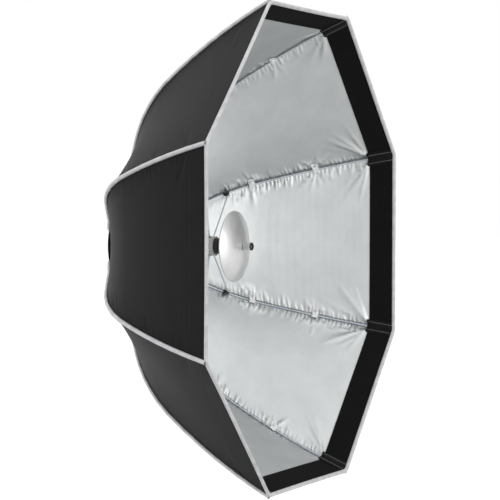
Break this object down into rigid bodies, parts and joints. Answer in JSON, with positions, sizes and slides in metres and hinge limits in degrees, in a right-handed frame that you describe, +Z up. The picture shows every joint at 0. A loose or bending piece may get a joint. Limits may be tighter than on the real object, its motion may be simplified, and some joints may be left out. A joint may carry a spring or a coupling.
{
  "type": "octabox",
  "caption": "Quick-folding eight-sided soft light modifier: hinged ribs with struts and hub, silver-lined black canopy, inner deflector, bayonet ring for a light.",
  "frame": {"origin": "centre of the ring's rear face, where it seats on the light", "axes": "+Y is the optical axis towards the light, the box opens towards -Y, +Z is up"},
  "size_m": [0.8246, 0.3702, 0.8246],
  "materials": {
    "black_cloth": "woven, matt, silver coated inside",
    "silver_cloth": "satin silver coating with fine cross ribs",
    "binding_tape": "ribbed tape, pale grey",
    "white_tape": "woven, white",
    "band_black": "loop pile",
    "black_plastic": "moulded",
    "grey_plastic": "moulded",
    "ring_black": "satin black",
    "steel": "satin",
    "rod_steel": "drawn",
    "dish_silver": "satin silver",
    "bright_metal": "bright"
  },
  "bodies": {
    "mount_ring": {"bayonet_insert": "steel", "insert_screws": "steel", "speed_ring": "ring_black", "rib_hinge_pins": "steel", "rear_collar": "black_cloth"},
    "rib_1": {"rib_knuckle_1": "black_plastic", "rib_rod_1": "rod_steel", "strut_bracket_1": "black_plastic", "canopy_panel_1": "black_cloth", "edge_band_1": "band_black"},
    "rib_2": {"rib_knuckle_2": "black_plastic", "rib_rod_2": "rod_steel", "strut_bracket_2": "black_plastic", "canopy_panel_2": "black_cloth", "edge_band_2": "band_black"},
    "rib_3": {"rib_knuckle_3": "black_plastic", "rib_rod_3": "rod_steel", "strut_bracket_3": "black_plastic", "canopy_panel_3": "black_cloth", "edge_band_3": "band_black"},
    "rib_4": {"rib_knuckle_4": "black_plastic", "rib_rod_4": "rod_steel", "strut_bracket_4": "black_plastic", "canopy_panel_4": "black_cloth", "edge_band_4": "band_black"},
    "rib_5": {"rib_knuckle_5": "black_plastic", "rib_rod_5": "rod_steel", "strut_bracket_5": "black_plastic", "canopy_panel_5": "black_cloth", "edge_band_5": "band_black"},
    "rib_6": {"rib_knuckle_6": "black_plastic", "rib_rod_6": "rod_steel", "strut_bracket_6": "black_plastic", "canopy_panel_6": "black_cloth", "edge_band_6": "band_black"},
    "rib_7": {"rib_knuckle_7": "black_plastic", "rib_rod_7": "rod_steel", "strut_bracket_7": "black_plastic", "canopy_panel_7": "black_cloth", "edge_band_7": "band_black"},
    "rib_8": {"rib_knuckle_8": "black_plastic", "rib_rod_8": "rod_steel", "strut_bracket_8": "black_plastic", "canopy_panel_8": "black_cloth", "edge_band_8": "band_black"},
    "strut_1": {"strut_1": "rod_steel"},
    "strut_2": {"strut_2": "rod_steel"},
    "strut_3": {"strut_3": "rod_steel"},
    "strut_4": {"strut_4": "rod_steel"},
    "strut_5": {"strut_5": "rod_steel"},
    "strut_6": {"strut_6": "rod_steel"},
    "strut_7": {"strut_7": "rod_steel"},
    "strut_8": {"strut_8": "rod_steel"},
    "hub": {"hub_runner": "grey_plastic", "hub_cap": "black_plastic", "hub_screws": "steel", "hub_stud": "steel"},
    "deflector": {"deflector_dish": "dish_silver"},
    "deflector_nut": {"deflector_nut": "bright_metal", "nut_rim": "black_plastic"}
  },
  "joints": [
    {"name": "rib_1_fold", "type": "hinge", "parent": "mount_ring", "child": "rib_1", "pos_m": [0.06467, -0.012, 0.02679], "axis": [0.3827, 0, -0.9239], "range_deg": [0, 40], "deforming": ["canopy_panel_1", "edge_band_1"]},
    {"name": "rib_2_fold", "type": "hinge", "parent": "mount_ring", "child": "rib_2", "pos_m": [0.02679, -0.012, 0.06467], "axis": [0.9239, 0, -0.3827], "range_deg": [0, 40], "deforming": ["canopy_panel_2", "edge_band_2"]},
    {"name": "rib_3_fold", "type": "hinge", "parent": "mount_ring", "child": "rib_3", "pos_m": [-0.02679, -0.012, 0.06467], "axis": [0.9239, 0, 0.3827], "range_deg": [0, 40], "deforming": ["canopy_panel_3", "edge_band_3"]},
    {"name": "rib_4_fold", "type": "hinge", "parent": "mount_ring", "child": "rib_4", "pos_m": [-0.06467, -0.012, 0.02679], "axis": [0.3827, 0, 0.9239], "range_deg": [0, 40], "deforming": ["canopy_panel_4", "edge_band_4"]},
    {"name": "rib_5_fold", "type": "hinge", "parent": "mount_ring", "child": "rib_5", "pos_m": [-0.06467, -0.012, -0.02679], "axis": [-0.3827, 0, 0.9239], "range_deg": [0, 40], "deforming": ["canopy_panel_5", "edge_band_5"]},
    {"name": "rib_6_fold", "type": "hinge", "parent": "mount_ring", "child": "rib_6", "pos_m": [-0.02679, -0.012, -0.06467], "axis": [-0.9239, 0, 0.3827], "range_deg": [0, 40], "deforming": ["canopy_panel_6", "edge_band_6"]},
    {"name": "rib_7_fold", "type": "hinge", "parent": "mount_ring", "child": "rib_7", "pos_m": [0.02679, -0.012, -0.06467], "axis": [-0.9239, 0, -0.3827], "range_deg": [0, 40], "deforming": ["canopy_panel_7", "edge_band_7"]},
    {"name": "rib_8_fold", "type": "hinge", "parent": "mount_ring", "child": "rib_8", "pos_m": [0.06467, -0.012, -0.02679], "axis": [-0.3827, 0, -0.9239], "range_deg": [0, 40], "deforming": ["canopy_panel_8", "edge_band_8"]},
    {"name": "strut_1_pivot", "type": "hinge", "parent": "rib_1", "child": "strut_1", "pos_m": [0.22312, -0.09867, 0.09242], "axis": [0.3827, 0, -0.9239], "range_deg": [-81.07, 0]},
    {"name": "strut_2_pivot", "type": "hinge", "parent": "rib_2", "child": "strut_2", "pos_m": [0.09242, -0.09867, 0.22312], "axis": [0.9239, 0, -0.3827], "range_deg": [-81.07, 0]},
    {"name": "strut_3_pivot", "type": "hinge", "parent": "rib_3", "child": "strut_3", "pos_m": [-0.09242, -0.09867, 0.22312], "axis": [0.9239, 0, 0.3827], "range_deg": [-81.07, 0]},
    {"name": "strut_4_pivot", "type": "hinge", "parent": "rib_4", "child": "strut_4", "pos_m": [-0.22312, -0.09867, 0.09242], "axis": [0.3827, 0, 0.9239], "range_deg": [-81.07, 0]},
    {"name": "strut_5_pivot", "type": "hinge", "parent": "rib_5", "child": "strut_5", "pos_m": [-0.22312, -0.09867, -0.09242], "axis": [-0.3827, 0, 0.9239], "range_deg": [-81.07, 0]},
    {"name": "strut_6_pivot", "type": "hinge", "parent": "rib_6", "child": "strut_6", "pos_m": [-0.09242, -0.09867, -0.22312], "axis": [-0.9239, 0, 0.3827], "range_deg": [-81.07, 0]},
    {"name": "strut_7_pivot", "type": "hinge", "parent": "rib_7", "child": "strut_7", "pos_m": [0.09242, -0.09867, -0.22312], "axis": [-0.9239, 0, -0.3827], "range_deg": [-81.07, 0]},
    {"name": "strut_8_pivot", "type": "hinge", "parent": "rib_8", "child": "strut_8", "pos_m": [0.22312, -0.09867, -0.09242], "axis": [-0.3827, 0, -0.9239], "range_deg": [-81.07, 0]},
    {"name": "hub_pivot", "type": "hinge", "parent": "strut_1", "child": "hub", "pos_m": [0.01293, -0.166, 0.00536], "axis": [0.3827, 0, -0.9239], "range_deg": [0, 41.07]},
    {"name": "deflector_pull_off", "type": "slide", "parent": "hub", "child": "deflector", "axis": [0, -1, 0], "range_m": [0, 0.04]},
    {"name": "deflector_nut_turn", "type": "hinge", "parent": "deflector", "child": "deflector_nut", "pos_m": [0, -0.242, 0], "axis": [0, -1, 0], "continuous": true}
  ],
  "couplings": [
    {"joint": "rib_2_fold", "follows": "rib_1_fold", "ratio": 1},
    {"joint": "rib_3_fold", "follows": "rib_1_fold", "ratio": 1},
    {"joint": "rib_4_fold", "follows": "rib_1_fold", "ratio": 1},
    {"joint": "rib_5_fold", "follows": "rib_1_fold", "ratio": 1},
    {"joint": "rib_6_fold", "follows": "rib_1_fold", "ratio": 1},
    {"joint": "rib_7_fold", "follows": "rib_1_fold", "ratio": 1},
    {"joint": "rib_8_fold", "follows": "rib_1_fold", "ratio": 1},
    {"joint": "strut_1_pivot", "follows": "rib_1_fold", "ratio": -2.0143},
    {"joint": "strut_2_pivot", "follows": "rib_1_fold", "ratio": -2.0143},
    {"joint": "strut_3_pivot", "follows": "rib_1_fold", "ratio": -2.0143},
    {"joint": "strut_4_pivot", "follows": "rib_1_fold", "ratio": -2.0143},
    {"joint": "strut_5_pivot", "follows": "rib_1_fold", "ratio": -2.0143},
    {"joint": "strut_6_pivot", "follows": "rib_1_fold", "ratio": -2.0143},
    {"joint": "strut_7_pivot", "follows": "rib_1_fold", "ratio": -2.0143},
    {"joint": "strut_8_pivot", "follows": "rib_1_fold", "ratio": -2.0143},
    {"joint": "hub_pivot", "follows": "rib_1_fold", "ratio": 1.0143}
  ]
}
